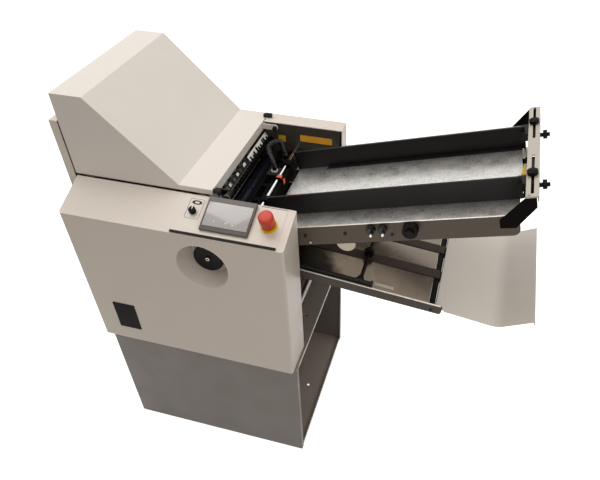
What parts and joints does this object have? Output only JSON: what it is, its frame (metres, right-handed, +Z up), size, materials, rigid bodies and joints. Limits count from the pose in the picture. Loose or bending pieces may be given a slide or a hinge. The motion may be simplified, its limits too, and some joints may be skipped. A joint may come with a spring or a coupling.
{
  "type": "paper folding machine",
  "caption": "Floor-standing buckle folding machine: suction feed table, folding rollers and fold plates under a hinged hood, belt delivery and catch tray below the table.",
  "frame": {"origin": "centre of the base cabinet's floor plate, on the floor", "axes": "+X from the hood end towards the outer end of the feed table, +Y away from the operator's side, +Z up"},
  "size_m": [1.3345, 0.5745, 1.26],
  "materials": {
    "beige_paint": "fine satin",
    "dark_frame": "satin",
    "bright_steel": "brushed",
    "black_metal": "satin black",
    "buffer_rubber": "matt",
    "panel_grey": "satin",
    "touch_grey": "glossy",
    "stop_yellow": "glossy",
    "stop_red": "glossy",
    "black_plastic": "moulded",
    "plate_black": "glossy",
    "roller_coat": "matt ground",
    "drum_metal": "anodised",
    "motor_grey": "cast",
    "pinion_steel": "machined",
    "galvanised": "mottled zinc",
    "chrome_rod": "polished",
    "brown_steel": "satin",
    "crossbar_paint": "satin",
    "valve_plastic": "glossy"
  },
  "bodies": {
    "machine": {"base_cabinet": "beige_paint", "base_floor_plate": "beige_paint", "base_shelf": "beige_paint", "operator_side_frame": "dark_frame", "rear_side_frame": "dark_frame", "frame_tie_rods": "bright_steel", "operator_side_cover": "beige_paint", "rear_side_cover": "beige_paint", "left_end_cover": "beige_paint", "hood_pivots": "black_metal", "console_panel": "panel_grey", "touch_panel": "touch_grey", "estop_base": "stop_yellow", "name_plate": "plate_black", "roller_bearings": "bright_steel", "drive_motor": "motor_grey", "upper_fold_plate": "bright_steel", "lower_fold_plate": "bright_steel", "perforated_strip": "galvanised", "feeder_bridge": "black_metal", "feed_rod": "chrome_rod", "front_gate": "black_metal", "suction_head": "black_metal", "vacuum_hose": "buffer_rubber", "table_sheet": "galvanised", "table_near_plate": "brown_steel", "table_far_plate": "brown_steel", "table_crossbar": "crossbar_paint", "crossbar_brackets": "black_metal", "table_screws": "bright_steel", "delivery_rails": "brown_steel", "delivery_bed": "galvanised", "delivery_belts": "buffer_rubber", "catch_tray": "beige_paint"},
    "hood_lid": {"hood": "beige_paint", "hood_buffers": "buffer_rubber"},
    "estop_head": {"estop_button": "stop_red"},
    "dial": {"speed_dial": "black_plastic"},
    "centre_train": {"central_roller": "roller_coat", "handwheel": "black_plastic"},
    "upper_train": {"upper_roller": "roller_coat"},
    "left_train": {"left_roller": "roller_coat"},
    "lower_train": {"lower_roller": "roller_coat"},
    "drum_train": {"suction_drum": "drum_metal"},
    "pinion_train": {"motor_pinion": "pinion_steel"},
    "upper_stop": {"upper_fold_stop": "black_plastic"},
    "lower_stop": {"lower_fold_stop": "black_plastic"},
    "near_fence": {"near_guide": "black_metal"},
    "far_fence": {"far_guide": "black_metal"},
    "near_clamp": {"near_clamp_knob": "black_plastic"},
    "far_clamp": {"far_clamp_knob": "black_plastic"},
    "near_star": {"near_star_knob": "black_plastic"},
    "far_star": {"far_star_knob": "black_plastic"},
    "left_valve": {"left_air_valve": "valve_plastic"},
    "right_valve": {"right_air_valve": "valve_plastic"},
    "height_knob": {"table_knob": "black_plastic"},
    "belt_drive": {"belt_drive_roller": "roller_coat"},
    "belt_end": {"belt_end_roller": "roller_coat"},
    "press_unit": {"press_carriage": "black_metal"},
    "press_wheels": {"press_shaft": "roller_coat"}
  },
  "joints": [
    {"name": "hood_hinge", "type": "hinge", "parent": "machine", "child": "hood_lid", "pos_m": [0.126, 0.016, 1.022], "axis": [0, 1, 0], "range_deg": [0, 55]},
    {"name": "estop_press", "type": "slide", "parent": "machine", "child": "estop_head", "axis": [0, 0.3755, -0.9268], "range_m": [0, 0.005], "stiffness_N_per_m": 1500, "springref_m": -0.002},
    {"name": "dial_turn", "type": "hinge", "parent": "machine", "child": "dial", "pos_m": [0.0473, -0.23102, 0.99789], "axis": [0, -0.3755, 0.9268], "range_deg": [-150, 150]},
    {"name": "central_spin", "type": "hinge", "parent": "machine", "child": "centre_train", "pos_m": [0.081, 0.016, 0.862], "axis": [0, 1, 0], "continuous": true},
    {"name": "upper_spin", "type": "hinge", "parent": "machine", "child": "upper_train", "pos_m": [0.09791, 0.016, 0.89825], "axis": [0, 1, 0], "continuous": true},
    {"name": "left_spin", "type": "hinge", "parent": "machine", "child": "left_train", "pos_m": [0.04341, 0.016, 0.87568], "axis": [0, 1, 0], "continuous": true},
    {"name": "lower_spin", "type": "hinge", "parent": "machine", "child": "lower_train", "pos_m": [0.07065, 0.016, 0.82336], "axis": [0, 1, 0], "continuous": true},
    {"name": "drum_spin", "type": "hinge", "parent": "machine", "child": "drum_train", "pos_m": [0.15362, 0.016, 0.87599], "axis": [0, 1, 0], "continuous": true},
    {"name": "pinion_spin", "type": "hinge", "parent": "machine", "child": "pinion_train", "pos_m": [0.09065, 0.228, 0.78872], "axis": [0, 1, 0], "continuous": true},
    {"name": "upper_stop_slide", "type": "slide", "parent": "machine", "child": "upper_stop", "axis": [-0.7071, 0, 0.7071], "range_m": [-0.2, 0.11]},
    {"name": "lower_stop_slide", "type": "slide", "parent": "machine", "child": "lower_stop", "axis": [-0.7071, 0, -0.7071], "range_m": [-0.18, 0.11]},
    {"name": "near_guide_slide", "type": "slide", "parent": "machine", "child": "near_fence", "axis": [0, 1, 0], "range_m": [-0.045, 0.06]},
    {"name": "far_guide_slide", "type": "slide", "parent": "machine", "child": "far_fence", "axis": [0, 1, 0], "range_m": [-0.06, 0.045]},
    {"name": "near_clamp_turn", "type": "hinge", "parent": "near_fence", "child": "near_clamp", "pos_m": [0.87501, -0.0905, 1.16496], "axis": [-0.2681, 0, 0.9634], "range_deg": [-120, 120]},
    {"name": "far_clamp_turn", "type": "hinge", "parent": "far_fence", "child": "far_clamp", "pos_m": [0.87501, 0.1585, 1.16496], "axis": [-0.2681, 0, 0.9634], "range_deg": [-120, 120]},
    {"name": "near_star_turn", "type": "hinge", "parent": "near_fence", "child": "near_star", "pos_m": [0.8793, -0.112, 1.14954], "axis": [0.9634, 0, 0.2681], "range_deg": [-180, 180]},
    {"name": "far_star_turn", "type": "hinge", "parent": "far_fence", "child": "far_star", "pos_m": [0.8793, 0.1225, 1.14954], "axis": [0.9634, 0, 0.2681], "range_deg": [-180, 180]},
    {"name": "left_valve_turn", "type": "hinge", "parent": "machine", "child": "left_valve", "pos_m": [0.51725, -0.181, 0.99586], "axis": [0, -1, 0], "range_deg": [0, 90]},
    {"name": "right_valve_turn", "type": "hinge", "parent": "machine", "child": "right_valve", "pos_m": [0.54711, -0.181, 1.00417], "axis": [0, -1, 0], "range_deg": [0, 90]},
    {"name": "table_knob_turn", "type": "hinge", "parent": "machine", "child": "height_knob", "pos_m": [0.61728, -0.187, 1.02058], "axis": [0, -1, 0], "range_deg": [-180, 180]},
    {"name": "belt_drive_spin", "type": "hinge", "parent": "machine", "child": "belt_drive", "pos_m": [0.15761, 0.016, 0.80334], "axis": [0, 1, 0], "continuous": true},
    {"name": "belt_end_spin", "type": "hinge", "parent": "machine", "child": "belt_end", "pos_m": [0.69659, 0.016, 0.74622], "axis": [0, 1, 0], "continuous": true},
    {"name": "press_slide", "type": "slide", "parent": "machine", "child": "press_unit", "axis": [0.9944, 0, -0.1054], "range_m": [-0.12, 0.12]},
    {"name": "press_spin", "type": "hinge", "parent": "press_unit", "child": "press_wheels", "pos_m": [0.49051, 0.016, 0.79431], "axis": [0, 1, 0], "continuous": true}
  ],
  "couplings": [
    {"joint": "upper_spin", "follows": "central_spin", "ratio": -1},
    {"joint": "left_spin", "follows": "central_spin", "ratio": -1},
    {"joint": "lower_spin", "follows": "central_spin", "ratio": -1},
    {"joint": "drum_spin", "follows": "central_spin", "ratio": 0.5},
    {"joint": "pinion_spin", "follows": "central_spin", "ratio": 1},
    {"joint": "belt_end_spin", "follows": "belt_drive_spin", "ratio": 1}
  ]
}
